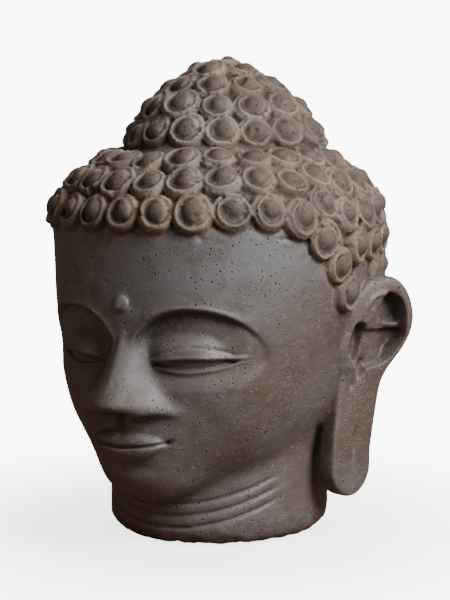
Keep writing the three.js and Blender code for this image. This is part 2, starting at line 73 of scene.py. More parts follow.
BROW = dict(x=3.1, z=10.2, wide=2.65, high=2, edge=0.12, deep=0.55, fade=(3.6, 5.6))
EYEBALL = dict(x=2.44, y=-6.37, z=10.1, half=(1.95, 1.35, 1.2), turn=23)
LIDS = dict(inner=1.2, outer=4.75, level=9.72, lift=0.16, upper=0.13, lower=0.36)
NOSE = dict(root=11.3, drop=3.2, root_y=-8.2, proud=1.6, crest=0.36, slope=0.74, base=7.48)
WING = dict(x=0.98, y=-8.5, z=7.98, half=(0.54, 0.68, 0.52))
NOSTRIL = dict(x=0.52, y=-8.85, z=7.42, half=(0.3, 0.42, 0.26))
MOUTH = dict(z=6.02, half=1.95, upper=0.62, lower=0.7, lift=0.2)
URNA = dict(z=12.35, radius=0.38, proud=0.15)
FOLDS = dict(count=3, first=1.75, apart=0.55, rise=2.4, deep=0.1, wide=0.1, fade=(52, 70))

EAR = dict(foot=2.8, top=13.25, lobe=1.42, stem=1.27, shell=(1.76, 2.15), flare=(12, 30), thick=(1.0, 2.9))
EAR_JOINED = (6.8, 9.4)  # heights between which the free lobe grows into the head
EAR_CUTS = dict(  # outlines on the ear's face: fingers back from its front edge, and height
    shell=[(0.8, 10.6), (1.5, 11.9), (2.2, 12.9), (3.8, 12.9), (3.8, 10.2), (2.8, 9.3), (1.6, 8.9), (0.9, 8.9)],
    fossa=[(1.3, 11.5), (2.1, 12.5), (3.6, 12.7), (3.6, 11.2), (3.0, 10.9), (1.7, 11.0)],
    bowl=[(0.4, 10.72), (3.8, 10.5), (3.8, 9.9), (2.5, 9.15), (1.6, 8.85), (0.9, 8.85), (0.4, 9.2)],
    bowl_back=[(1.7, 10.8), (3.8, 10.6), (3.8, 9.9), (2.6, 9.3), (2.1, 9.7)],
    slot=[(0.02, 10.2), (0.3, 11.0), (0.66, 10.95), (0.8, 9.9), (0.55, 9.05), (0.05, 9.7)],
    notch=[(0.85, 9.4), (1.35, 9.4), (1.25, 8.6), (0.95, 8.4)],
)
EAR_ROOT = dict(x=(6.6, 7.15), x_z=(7.4, 11.4), y=(-0.65, 0.25), z=(4.2, 10.8))

GRID = 0.09  # first surface, before the curls are fused on
VOXEL = 0.001
TRIANGLES = 190_000
PITS = dict(count=240, seed=11, radius=(0.05, 0.11))
HAIR_FADE = (1.6, 1.1)  # fingers from the nearest curl's middle, from bare stone to hair


# ---------------------------------------------------------------- shaping tools
def clamp(v, low=0.0, high=1.0):
    return np.clip(v, low, high)


def mix(a, b, t):
    return a + (b - a) * t


def ramp(low, high, v):
    t = clamp((v - low) / (high - low))
    return t * t * (3 - 2 * t)


def bell(v):
    return np.exp(-v * v)


def join(a, b, k):
    return np.minimum(a, b) - np.maximum(k - np.abs(a - b), 0) ** 2 / (4 * k)


def cut(a, b, k):
    return -join(-a, -b, k)


def egg(p, at, half, up, down, full):
    """How far a point lies outside an ellipsoid with its own reach up and down, rounder or squarer by full."""
    x, y, z = (p[i] - at[i] for i in range(3))
    reach = (half[0], half[1], np.where(z > 0, up, down))
    share = [np.abs(d) / r for d, r in zip((x, y, z), reach)]
    size = np.maximum(sum(s**full for s in share), 1e-9) ** (1 / full)
    slope = np.sqrt(sum((s ** (full - 1) / r) ** 2 for s, r in zip(share, reach))) * size ** (1 - full)
    return (size - 1) / np.maximum(slope, 1e-6)


def ellipsoid(p, at, half):
    return egg(p, at, half[:2], half[2], half[2], 2)


def noise(p, scale, seed):
    """Smooth random values between -1 and 1 in space, the same for the same seed."""
    q = p * scale + seed * 17.3
    cell = np.floor(q).astype(np.int64)
    t = q - cell
    t = t * t * (3 - 2 * t)
    total = 0
    for corner in np.ndindex(2, 2, 2):
        c = cell + corner
        mixed = (c[:, 0] * 73856093) ^ (c[:, 1] * 19349663) ^ (c[:, 2] * 83492791)
        mixed = ((mixed ^ (mixed >> 13)) * 1274126177) & 0x7FFFFFFF
        weight = np.prod(np.where(corner, t, 1 - t), axis=1)
        total = total + weight * ((mixed / 0x3FFFFFFF) - 1)
    return total


# ---------------------------------------------------------------- the bare head
def neck(p):
    x, y, z = p
    spread = 1 + NECK["flare"] * clamp((NECK["flare_top"] - z) / NECK["flare_top"], 0, 2) ** 2
    size = np.hypot(x / NECK["half"][0], (y - NECK["at_y"]) / NECK["half"][1]) / spread
    side = (size - 1) * NECK["half"][0]
    return cut(cut(side, z - NECK["top"], 0.5), BASE - z, NECK["edge"])


def hair_block(p):
    nape = join(egg(p, **CRANIUM), neck(p), 1.4)
    return join(nape, egg(p, **TOPKNOT), 0.45)


def nose(p):
    """The straight ridge and flat sides of the nose, closed below by its base, with its wings and nostrils."""
    x, y, z = p
    side = np.abs(x)
    down = clamp((NOSE["root"] - z) / NOSE["drop"], 0, 1.15)
    ridge = NOSE["root_y"] - NOSE["proud"] * down**1.25
    crest = NOSE["crest"] + 0.3 * ramp(9.4, 7.9, z) + 0.5 * ramp(10.7, 11.8, z)
    flank = (side - crest - NOSE["slope"] * (y - ridge)) / math.hypot(1, NOSE["slope"])
    base = NOSE["base"] + 0.2 * (-8.3 - y) - z
    within_face = np.maximum(z - NOSE["root"] - 0.7, y + 6.5)
    bridge = np.maximum(cut(cut(flank, (ridge - y) * 0.8, 0.55), base, 0.45), within_face)
    wing = ellipsoid((side, y, z), (WING["x"], WING["y"], WING["z"]), WING["half"])
    nostril = ellipsoid((side, y, z), (NOSTRIL["x"], NOSTRIL["y"], NOSTRIL["z"]), NOSTRIL["half"])
    return cut(join(bridge, wing, 0.28), -nostril, 0.12)


def eyeball(p):
    x, y, z = p
    turn = math.radians(EYEBALL["turn"])
    dx = np.abs(x) - EYEBALL["x"]
    dy = y - EYEBALL["y"]
    along = dx * math.cos(turn) + dy * math.sin(turn)
    outward = dy * math.cos(turn) - dx * math.sin(turn)
    return ellipsoid((along, outward, z - EYEBALL["z"]), (0, 0, 0), EYEBALL["half"])


def socket(side, z):
    """How far the hollow under the brow is cut back."""
    away = np.hypot((side - BROW["x"]) / BROW["wide"], (z - BROW["z"]) / BROW["high"])
    edge = ramp(1, 1 - BROW["edge"], away)
    outer = 1 - ramp(*BROW["fade"], side)
    hollow = BROW["deep"] * edge * ramp(8.4, 10, z) * (0.25 + 0.75 * outer) * (1 - 0.25 * ramp(1.5, 4, side))
    crest = 0.07 * bell((away - 1.03) / 0.045) * ramp(10.3, 10.9, z) * (1 - ramp(4.6, 5.6, side))
    return hollow - crest


def lids(side, z):
    share = (side - LIDS["inner"]) / (LIDS["outer"] - LIDS["inner"])
    arch = np.sin(math.pi * clamp(share))
    level = LIDS["level"] + LIDS["lift"] * share
    upper = level + LIDS["upper"] * arch
    lower = level - LIDS["lower"] * arch**0.8
    shut = 1 - ramp(upper - 0.05, upper + 0.03, z)
    opened = ramp(lower - 0.03, lower + 0.05, z) * shut * ramp(0, 0.15, arch)
    fade = ramp(-0.12, 0.04, share) * (1 - ramp(1, 1.15, share))
    upper_rim = 0.09 * bell((z - upper - 0.11) / 0.09)
    crease = -0.05 * bell((z - upper - 0.5 * arch**0.6 - 0.06) / 0.06) * ramp(0.02, 0.3, arch)
    lower_rim = 0.05 * bell((z - lower + 0.1) / 0.09)
    return (upper_rim + lower_rim + crease) * fade - 0.15 * opened


def lip_line(side):
    return MOUTH["z"] - 0.05 * bell(side / 0.45) + MOUTH["lift"] * np.minimum(side / MOUTH["half"], 1.2) ** 3


def lips(side, z):
    t = side / MOUTH["half"]
    inside = clamp(t)
    line = lip_line(side)
    upper = (MOUTH["upper"] - 0.1 * bell(side / 0.2)) * (1 - inside**2.2) ** 0.8 + 1e-3
    lower = MOUTH["lower"] * (1 - inside**2.4) ** 0.8 + 1e-3
    rise = np.where(z > line, (z - line) / upper, (line - z) / lower)
    proud = np.where(z > line, 0.3, 0.34)
    swell = 0.1 + proud * np.sqrt(np.maximum(1 - rise * rise, 0))
    edge = 0.1 * (1 - ramp(0, 0.12, (rise - 1) * upper))
    body = np.where(rise < 1, swell, edge) * (1 - inside**5)
    corner = -0.12 * bell((z - line) / 0.12) * bell((t - 1) / 0.12)
    return np.where(t < 1, body - 0.24 * bell((z - line) / 0.07), 0) + corner * (t >= 0.9)


def face_relief(p):
    """All that stands proud of the face, or is cut into it."""
    x, y, z = p
    side = np.abs(x)
    philtrum = ramp(6.6, 6.85, z) * (1 - ramp(7.35, 7.6, z))
    lip = -0.1 * bell(side / 0.2) + 0.05 * bell((side - 0.4) / 0.14)
    under_lip = -0.14 * bell((z - 5.02) / 0.25) * bell(side / 1.2)
    urna = URNA["proud"] * ramp(URNA["radius"] + 0.03, URNA["radius"] - 0.06, np.hypot(x, z - URNA["z"]))
    return (lips(side, z) + lip * philtrum + under_lip + urna - socket(side, z)) * ramp(-3, -5, y)


def neck_folds(p):
    """Lines incised round the front of the neck, sweeping up to the sides as the jaw does."""
    x, y, z = p
    round_ = np.arctan2(np.abs(x), -y)
    shown = 1 - ramp(*np.radians(FOLDS["fade"]), round_)
    depth = 0
    for i in range(FOLDS["count"]):
        level = FOLDS["first"] + i * FOLDS["apart"] + FOLDS["rise"] * (1 - np.cos(round_))
        depth = depth + FOLDS["deep"] * bell((z - level) / FOLDS["wide"])
    return depth * shown


def ear(p):
    """One ear, both sides alike: a strip with a round lobe and a broad shell, hollowed on its outer face."""
    x, y, z = np.abs(p[0]), p[1], p[2]
    risen = ramp(*EAR_ROOT["z"], z)
    turn = np.radians(mix(*EAR["flare"], risen))
    dx = x - mix(*EAR_ROOT["x"], ramp(*EAR_ROOT["x_z"], z))
    dy = y - mix(*EAR_ROOT["y"], risen)
    u = dx * np.sin(turn) + dy * np.cos(turn)
    w = dx * np.cos(turn) - dy * np.sin(turn)
    shell = EAR["shell"]
    half = mix(EAR["lobe"], EAR["stem"], ramp(5, 8.8, z))
    strip = np.hypot(u - half, z - clamp(z, EAR["foot"] + half, 10)) - half
    shell_z = EAR["top"] - shell[1]
    oval = (np.hypot((u - shell[0]) / shell[0], (z - shell_z) / shell[1]) - 1) * shell[0]
    outline = join(strip, oval, 1.1)
    thick = mix(*EAR["thick"], ramp(*EAR_JOINED, z))
    behind = mix(thick, 0.95, clamp(u / (2 * shell[0])))
    face = w + ear_hollow(u, z, outline)
    return cut(cut(outline, face, mix(0.2, 0.34, ramp(9, 11, z))), -(w + behind), 0.35)


def within(u, z, corners, soft=0.1):
    """1 inside an outline given by its corners, taken clockwise, and 0 outside, with soft edges and round corners."""
    out = -9 + 0 * z
    for (u0, z0), (u1, z1) in zip(corners, corners[1:] + corners[:1]):
        out = cut(out, ((z - z0) * (u1 - u0) - (u - u0) * (z1 - z0)) / math.hypot(u1 - u0, z1 - z0), 0.25)
    return ramp(soft, -soft, out)


def ear_hollow(u, z, outline):
    """How far the ear's face is cut back inside its rim, and for the slot, the notch and the crease of the lobe."""
    band = mix(0.24, 0.48, ramp(10.0, 11.2, z)) + 0.26 * ramp(12.0, 12.9, z)
    inside = ramp(0.02, -0.16, outline + band)
    back = ramp(1.2, 3.0, u)
    shell = within(u, z, EAR_CUTS["shell"])
    fossa = within(u, z, EAR_CUTS["fossa"], 0.14)
    bowl = within(u, z, EAR_CUTS["bowl"])
    bowl_back = within(u, z, EAR_CUTS["bowl_back"], 0.35)
    hollow = ((0.1 + 0.4 * back) * shell + (0.2 + 0.35 * back) * fossa + 0.26 * bowl + 0.3 * bowl_back) * inside
    slot = 0.85 * within(u, z, EAR_CUTS["slot"], 0.16)
    notch = 0.5 * within(u, z, EAR_CUTS["notch"], 0.14)
    drop = 0.14 * bell(np.hypot((u - 0.72) / 0.14, (z - 8.1) / 0.22))
    tragus = 0.1 * bell(np.hypot((u - 0.3) / 0.25, (z - 9.0) / 0.2))
    inner_ridge = 0.12 * bell((outline + band + 0.16) / 0.1) * ramp(11.3, 11.9, z)
    crease = 0.16 * bell((u - 1.5) / 0.09) * ramp(4.1, 5.2, z) * (1 - ramp(5.6, 6.2, z))
    return np.maximum(np.maximum(hollow, slot), notch) + drop + crease - tragus - inner_ridge


def mask(p):
    muzzle = join(egg(p, **CHIN), egg(p, **MUZZLE), 1)
    return join(egg(p, **FACE), muzzle, 1.4)


def head(p):
    """The bare stone, before the curls."""
    x, y, z = p
    skull = join(egg(p, **CRANIUM), mask(p), 0.9) - face_relief(p)
    eyes = join(skull, eyeball(p), 0.22) - lids(np.abs(x), z) * (y < -5)
    features = join(eyes, nose(p), 0.22)
    shaft = neck(p) + neck_folds(p) * (y < 0)
    with_neck = join(features, shaft, mix(0.35, 1.2, ramp(-1, 1, y)))
    seam = mix(0.12, 0.8, ramp(5.4, 7.2, z) * (1 - ramp(9.6, 11, z)))
    return join(join(with_neck, egg(p, **TOPKNOT), 0.45), ear(p), seam)


# ---------------------------------------------------------------- where the curls sit
def slope_of(field, points, step=1e-3):
    """The field's slope at rows of points."""
    sides = []
    for i in range(3):
        shift = np.zeros(3)
        shift[i] = step
        sides.append((field((points + shift).T) - field((points - shift).T)) / (2 * step))
    return np.stack(sides, axis=1)


def unit(vectors):
    return vectors / np.linalg.norm(vectors, axis=1, keepdims=True)


def settle(points):
    """Moves points onto the surface of the hair's block."""
    points = np.array(points, float)
    for _ in range(4):
        points = points - unit(slope_of(hair_block, points)) * hair_block(points.T)[:, None]
    return points


def hair_edge(angle):
    """The height of the hair's edge at an angle round from the face."""
    middle = HAIRLINE + CURL["radius"] * 0.9
    t = clamp((angle - TEMPLE["start"]) / (TEMPLE["stop"] - TEMPLE["start"]))
    front = middle - TEMPLE["drop"] * t ** TEMPLE["power"]
    share = clamp((180 - angle) / (180 - NAPE["start"]))
    back = NAPE["height"] + NAPE["rise"] * share**3
    return np.where(angle <= TEMPLE["stop"], front, np.where(angle < NAPE["start"], OVER_EAR, back))


def round_of(points):
    a, b = CRANIUM["half"]
    return np.degrees(np.arctan2(np.abs(points[:, 0]) / a, -points[:, 1] / b))


def width_share(shape, z):
    rise = z - shape["at"][2]
    reach = np.where(rise > 0, shape["up"], shape["down"])
    return (1 - clamp(np.abs(rise) / reach) ** shape["full"]) ** (1 / shape["full"])


def around(shape, angle, z, least=0.0):
    share = np.maximum(width_share(shape, z), least)
    turn = np.radians(angle)
    x = shape["half"][0] * share * np.sin(turn)
    y = shape["at"][1] - shape["half"][1] * share * np.cos(turn)
    return np.stack([x, y, z + 0 * x], axis=1)


def on_cranium(angle, z):
    return settle(around(CRANIUM, angle, z, 0.55))


def spaced(path, first, pitch):
    """Points one pitch apart along a path of points, the first of them a given way along it."""
    steps = np.linalg.norm(np.diff(path, axis=0), axis=1)
    travelled = np.concatenate([[0], np.cumsum(steps)])
    stops = np.arange(first, travelled[-1], pitch)
    return np.stack([np.interp(stops, travelled, path[:, i]) for i in range(3)], axis=1)


def mirrored(row):
    off_axis = row[np.abs(row[:, 0]) > 0.1]
    return np.concatenate([row, off_axis * (-1, 1, 1)])


def closed_ring(path, shift):
    length = np.linalg.norm(np.diff(path, axis=0), axis=1).sum()
    count = max(1, round(length / CURL["pitch"]))
    return spaced(path, shift * length / count, length / count)[:count]


def topknot_curls():
    heights = np.arange(TOPKNOT["up"], KNOT_FOOT, -0.01) + TOPKNOT["at"][2]
    levels = spaced(around(TOPKNOT, 0, heights), CURL["row"], CURL["row"])[:, 2]
    turn = np.linspace(0, 360, 181)
    rings = [closed_ring(around(TOPKNOT, turn, z), (i % 2) / 2) for i, z in enumerate(levels)]
    peak = np.array([TOPKNOT["at"]]) + (0, 0, TOPKNOT["up"])
    return np.concatenate(rings + [peak])


def ring_levels():
    """Rings one row apart, up the front of the cranium and down its back, every other one set half a pitch on."""
    start = float(hair_edge(0))
    up = spaced(on_cranium(0, np.arange(start, TOPKNOT["at"][2] + 0.6, 0.02)), 0, CURL["row"])[:, 2]
    down = spaced(on_cranium(180, np.arange(start, NAPE["height"], -0.02)), CURL["row"], CURL["row"])[:, 2]
    return [(z, (i % 2) / 2) for i, z in enumerate(up)] + [(z, ((i + 1) % 2) / 2) for i, z in enumerate(down)]


def lay_curls():
    temple = np.arange(0, TEMPLE["stop"] + 0.1, 0.25)
    front = mirrored(spaced(on_cranium(temple, hair_edge(temple)), 0, CURL["pitch"]))
    behind = np.arange(NAPE["start"], 180.1, 0.25)
    nape = mirrored(spaced(on_cranium(behind, hair_edge(behind)), CURL["pitch"] / 2, CURL["pitch"]))
    fixed = np.concatenate([front, nape, topknot_curls()])
    loose = []
    turn = np.linspace(0, 360, 181)
    for z, shift in ring_levels():
        for p in closed_ring(on_cranium(turn, z), shift):
            clear = p[2] >= hair_edge(round_of(p[None]))[0] + 0.3
            clear = clear and np.linalg.norm(fixed - p, axis=1).min() >= CURL["pitch"] * 0.72
            if clear and (not loose or np.linalg.norm(np.array(loose) - p, axis=1).min() >= CURL["pitch"] * 0.6):
                loose.append(p)
    loose = np.array(loose)
    for _ in range(24):
        every = np.concatenate([fixed, loose])
        away = loose[:, None] - every[None]
        gap = np.linalg.norm(away, axis=2)
        too_near = (gap > 1e-6) & (gap < CURL["pitch"])
        pushed = np.where(too_near, (CURL["pitch"] - gap) / np.maximum(gap, 1e-6) * 0.3, 0)
        loose = settle(loose + (away * pushed[..., None]).sum(axis=1))
    at = np.concatenate([settle(fixed), loose])
    return at, unit(slope_of(hair_block, at))


# ---------------------------------------------------------------- taking the surface off the field
def in_chunks(field, points, size=300_000):
    return np.concatenate([field(points[i : i + size].T) for i in range(0, len(points), size)])


def grid_values(field, low, high, step, coarse=4):
    """The field's values on a fine grid, worked out only near the surface."""
    counts = np.ceil((high - low) / (step * coarse)).astype(int)
    axes = [low[i] + step * coarse * np.arange(counts[i] + 1) for i in range(3)]
    corners = np.stack(np.meshgrid(*axes, indexing="ij"), axis=-1)
    rough = in_chunks(field, corners.reshape(-1, 3)).reshape(corners.shape[:3])
    close = np.abs(rough) < step * coarse * 1.9
    cells = np.zeros(counts, bool)
    for i, j, k in np.ndindex(2, 2, 2):
        cells |= close[i : i + counts[0], j : j + counts[1], k : k + counts[2]]
    for axis in range(3):
        cells = cells.repeat(coarse, axis=axis)
    near = np.zeros(np.array(cells.shape) + 1, bool)
    for i, j, k in np.ndindex(2, 2, 2):
        near[i : i + cells.shape[0], j : j + cells.shape[1], k : k + cells.shape[2]] |= cells
    values = rough
    for axis in range(3):
        index = np.minimum((np.arange(near.shape[axis]) + coarse // 2) // coarse, rough.shape[axis] - 1)
        values = values.take(index, axis=axis)
    spots = np.argwhere(near)
    values[near] = in_chunks(field, low + spots * step)
    return values


def surface_net(values, low, step):
    """A closed mesh of quads where the values change sign."""
    inside = values < 0
    nx, ny, nz = (n - 1 for n in values.shape)
    count = np.zeros((nx, ny, nz), np.uint8)
    for i, j, k in np.ndindex(2, 2, 2):
        count += inside[i : i + nx, j : j + ny, k : k + nz]
    cells = np.argwhere((count > 0) & (count < 8))
    number = np.full((nx, ny, nz), -1, np.int32)
    number[tuple(cells.T)] = np.arange(len(cells))
    total = np.zeros((len(cells), 3))
    crossings = np.zeros(len(cells))
    for axis in range(3):
        for a, b in np.ndindex(2, 2):
            start = np.insert([a, b], axis, 0)
            stop = np.insert([a, b], axis, 1)
            f0 = values[tuple((cells + start).T)]
            f1 = values[tuple((cells + stop).T)]
            crossed = (f0 < 0) != (f1 < 0)
            t = np.where(crossed, f0 / np.where(crossed, f0 - f1, 1), 0)
            total += np.where(crossed[:, None], start + t[:, None] * (stop - start), 0)
            crossings += crossed
    points = low + (cells + total / crossings[:, None]) * step
    quads = []
    for axis in range(3):
        b, c = (axis + 1) % 3, (axis + 2) % 3
        here = inside.take(np.arange(inside.shape[axis] - 1), axis=axis)
        there = inside.take(np.arange(1, inside.shape[axis]), axis=axis)
        edges = np.argwhere(here != there)
        outward = here[tuple(edges.T)]
        around_edge = []
        for back_b, back_c in ((1, 1), (0, 1), (0, 0), (1, 0)):
            cell = edges.copy()
            cell[:, b] -= back_b
            cell[:, c] -= back_c
            around_edge.append(number[tuple(cell.T)])
        ring = np.stack(around_edge, axis=1)
        quads.append(np.where(outward[:, None], ring, ring[:, ::-1]))
    return points, np.concatenate(quads)


def new_object(name, points, faces):
    mesh = bpy.data.meshes.new(name)
    mesh.vertices.add(len(points))
    mesh.vertices.foreach_set("co", np.ascontiguousarray(points, np.float32).ravel())
    if len(faces):
        corners = faces.shape[1]
        mesh.loops.add(faces.size)
        mesh.loops.foreach_set("vertex_index", np.ascontiguousarray(faces, np.int32).ravel())
        mesh.polygons.add(len(faces))
        mesh.polygons.foreach_set("loop_start", np.arange(0, faces.size, corners, dtype=np.int32))
    mesh.update(calc_edges=True)
    mesh.validate()
    thing = bpy.data.objects.new(name, mesh)
    bpy.context.collection.objects.link(thing)
    return thing


def finished_mesh(thing):
    """Works a thing's modifiers into its mesh."""
    graph = bpy.context.evaluated_depsgraph_get()
    made = bpy.data.meshes.new_from_object(thing.evaluated_get(graph))
    thing.modifiers.clear()
    thing.data = made
    return thing


def points_of(mesh):
    flat = np.empty(len(mesh.vertices) * 3, np.float32)
    mesh.vertices.foreach_get("co", flat)
    return flat.reshape(-1, 3).astype(float)


def normals_of(mesh):
    flat = np.empty(len(mesh.vertices) * 3, np.float32)
    mesh.vertex_normals.foreach_get("vector", flat)
    return flat.reshape(-1, 3).astype(float)


def put_points(mesh, points):
    mesh.vertices.foreach_set("co", points.astype(np.float32).ravel())
    mesh.update()


def add_attribute(mesh, name, values):
    layer = mesh.attributes.new(name, "FLOAT", "POINT")
    layer.data.foreach_set("value", values.astype(np.float32))


# ---------------------------------------------------------------- the snail curl and its tree
class Tree:
    """A node tree under construction, with short calls for its nodes, links and inputs."""

    def __init__(self, tree):
        self.tree = tree

    def node(self, kind, inputs=(), **settings):
        made = self.tree.nodes.new(kind)
        for name, value in settings.items():
            setattr(made, name, value)
        for name, value in dict(inputs).items():
            self.fill(made.inputs[name], value)
        return made

    def fill(self, socket, value):
        if isinstance(value, bpy.types.NodeSocket):
            self.tree.links.new(value, socket)
        else:
            socket.default_value = value

    def figure(self, operation, a, b=0.0, clamped=False):
        made = self.node("ShaderNodeMath", operation=operation, use_clamp=clamped)
        self.fill(made.inputs[0], a)
        self.fill(made.inputs[1], b)
        return made.outputs[0]

    def times(self, a, b):
        return self.figure("MULTIPLY", a, b)

    def join(self, source, target):
        self.tree.links.new(source, target)


def geometry_tree(name, inputs):
    group = bpy.data.node_groups.new(name, "GeometryNodeTree")
    group.interface.new_socket("Geometry", in_out="INPUT", socket_type="NodeSocketGeometry")
    group.interface.new_socket("Geometry", in_out="OUTPUT", socket_type="NodeSocketGeometry")
    for label, (kind, value) in inputs.items():
        socket = group.interface.new_socket(label, in_out="INPUT", socket_type="NodeSocket" + kind)
        if value is not None:
            socket.default_value = value
    return group


def run_tree(thing, group, values):
    modifier = thing.modifiers.new(group.name, "NODES")
    modifier.node_group = group
    for item in group.interface.items_tree:
        if item.item_type == "SOCKET" and item.in_out == "INPUT" and item.name in values:
            modifier[item.identifier] = values[item.name]
    return finished_mesh(thing)


def snail_curl_tree():
    """A boss ringed by a coil on a steep-sided foot, set on every point, all winding the same way."""
    group = geometry_tree(
        "snail_curls",
        {
            "Radius": ("Float", 0.014),
            "Height": ("Float", 0.006),
            "Boss": ("Float", 0.66),
            "Boss Aside": ("Float", 0.15),
            "Coil Turns": ("Float", 1.05),
            "Coil Thickness": ("Float", 0.125),
            "Turn Jitter": ("Float", 0.4),
            "Tilt Jitter": ("Float", 0.1),
            "Size Jitter": ("Float", 0.07),
            "Seed": ("Int", 7),
            "Stone": ("Material", None),
        },
    )
    t = Tree(group)
    given = t.node("NodeGroupInput").outputs
    radius, height = given["Radius"], given["Height"]
    figure, times = t.figure, t.times

    def vector(x=0.0, y=0.0, z=0.0):
        return t.node("ShaderNodeCombineXYZ", {"X": x, "Y": y, "Z": z}).outputs[0]

    def moved(geometry, **how):
        return t.node("GeometryNodeTransform", {"Geometry": geometry, **how}).outputs[0]

    def curl(boss_share, aside, coil_start, coil_end):
        """One curl: its foot, its boss a little to one side, and the coil that leaves the boss and circles it."""
        cone = t.node(
            "GeometryNodeMeshCone",
            {
                "Vertices": 28,
                "Side Segments": 2,
                "Radius Top": times(radius, 0.97),
                "Radius Bottom": times(radius, 1.16),
                "Depth": times(height, 1.9),
            },
        ).outputs["Mesh"]
        foot = moved(cone, Translation=vector(z=times(height, -1.45)))
        ball = t.node("GeometryNodeMeshUVSphere", {"Segments": 24, "Rings": 14, "Radius": 1.0}).outputs["Mesh"]
        wide = times(times(radius, given["Boss"]), boss_share)
        shift = times(times(radius, given["Boss Aside"]), aside)
        boss = moved(ball, Translation=vector(shift, times(shift, 0.7)), Scale=vector(wide, wide, times(height, 1.2)))
        spiral = t.node(
            "GeometryNodeCurveSpiral",
            {
                "Resolution": 40,
                "Rotations": given["Coil Turns"],
                "Start Radius": times(radius, coil_start),
                "End Radius": times(radius, coil_end),
                "Height": times(height, -0.2),
                "Reverse": True,
            },
        ).outputs["Curve"]
        path = moved(spiral, Translation=vector(z=times(height, 0.66)), Rotation=(0, 0, math.radians(75)))
        along = t.node("GeometryNodeSplineParameter").outputs["Factor"]
        swelling = t.node(
            "ShaderNodeMapRange", {"Value": along, "From Min": 0.0, "From Max": 0.4, "To Min": 0.5, "To Max": 1.0}
        ).outputs[0]
        tube = times(times(radius, given["Coil Thickness"]), swelling)
        sized = t.node("GeometryNodeSetCurveRadius", {"Curve": path, "Radius": tube}).outputs[0]
        section = t.node("GeometryNodeCurvePrimitiveCircle", {"Resolution": 10, "Radius": 1.0}).outputs[0]
        coil = t.node("GeometryNodeCurveToMesh", {"Curve": sized, "Profile Curve": section, "Fill Caps": True})
        if "Scale" in coil.inputs:
            t.join(t.node("GeometryNodeInputRadius").outputs[0], coil.inputs["Scale"])
        whole = t.node("GeometryNodeJoinGeometry")
        for shape in (foot, boss, coil.outputs[0]):
            t.join(shape, whole.inputs[0])
        return whole.outputs[0]

    kinds = t.node("GeometryNodeGeometryToInstance")
    for shape in ((1.0, 1.0, 0.70, 0.88), (0.9, 1.3, 0.64, 0.87), (1.08, 0.7, 0.74, 0.89)):
        t.join(curl(*shape), kinds.inputs[0])

    def lot(kind, low, high, step):
        seed = figure("ADD", given["Seed"], step)
        drawn = t.node("FunctionNodeRandomValue", {"Min": low, "Max": high, "Seed": seed}, data_type=kind)
        return drawn.outputs["Value"]

    out = t.node("GeometryNodeInputNamedAttribute", {"Name": "out"}, data_type="FLOAT_VECTOR").outputs["Attribute"]
    facing = t.node(
        "FunctionNodeAxesToRotation",
        {"Primary Axis": out, "Secondary Axis": (0.0, 0.0, 1.0)},
        primary_axis="Z",
        secondary_axis="Y",
    ).outputs[0]
    lean = vector(given["Tilt Jitter"], given["Tilt Jitter"], given["Turn Jitter"])
    swing = lot("FLOAT_VECTOR", (-1.0, -1.0, -1.0), (1.0, 1.0, 1.0), 0)
    swing = t.node("ShaderNodeVectorMath", {0: swing, 1: lean}, operation="MULTIPLY").outputs[0]
    turned = t.node(
        "FunctionNodeRotateRotation", {"Rotation": facing, "Rotate By": swing}, rotation_space="LOCAL"
    ).outputs[0]
    spread = given["Size Jitter"]
    size = lot("FLOAT", figure("SUBTRACT", 1.0, spread), figure("ADD", 1.0, spread), 1)
    placed = t.node(
        "GeometryNodeInstanceOnPoints",
        {
            "Points": given["Geometry"],
            "Instance": kinds.outputs[0],
            "Pick Instance": True,
            "Instance Index": lot("INT", 0, 2, 2),
            "Rotation": turned,
            "Scale": size,
        },
    )
    real = t.node("GeometryNodeRealizeInstances", {"Geometry": placed.outputs[0]})
    finished = t.node("GeometryNodeSetMaterial", {"Geometry": real.outputs[0], "Material": given["Stone"]})
    t.join(finished.outputs[0], t.node("NodeGroupOutput").inputs[0])
    return group


# ---------------------------------------------------------------- the carved stone
def to_room(points):
    """Finger widths from the head's axis into metres from the part's origin."""
    return points * FINGER + axis_place


def from_room(points):
    return (points - axis_place) / FINGER


def curls_on(at, out, stone):
    points = new_object("snail_curls", to_room(at), np.empty((0, 3)))
    layer = points.data.attributes.new("out", "FLOAT_VECTOR", "POINT")
    layer.data.foreach_set("vector", out.astype(np.float32).ravel())
    sizes = {"Radius": CURL["radius"] * FINGER, "Height": CURL["height"] * FINGER, "Stone": stone}
    return run_tree(points, snail_curl_tree(), sizes)


def fused(things, voxel):
    bpy.ops.object.select_all(action="DESELECT")
    for thing in things:
        thing.select_set(True)
    bpy.context.view_layer.objects.active = things[0]
    bpy.ops.object.join()
    block = things[0]
    remesh = block.modifiers.new("fuse", "REMESH")
    remesh.mode = "VOXEL"
    remesh.voxel_size = voxel
    return finished_mesh(block)


def nearest_curl(points, at):
    """For each point, the curl it belongs to and how far away that is."""
    tree = KDTree(len(at))
    for i, place in enumerate(at):
        tree.insert(place, i)
    tree.balance()
    found = [tree.find(p) for p in points]
    return np.array([f[1] for f in found]), np.array([f[2] for f in found])


def back_to_form(points, free):
    """Puts the free points back exactly on the bare stone's form."""
    moved = points[free]
    for _ in range(3):
        value = in_chunks(head, moved)
        slope = np.concatenate([slope_of(head, moved[i : i + 200_000], 0.01) for i in range(0, len(moved), 200_000)])
        steep = np.maximum((slope**2).sum(axis=1), 0.2)
        moved = moved - slope * clamp(value / steep, -0.08, 0.08)[:, None]
    points[free] = moved
    return points


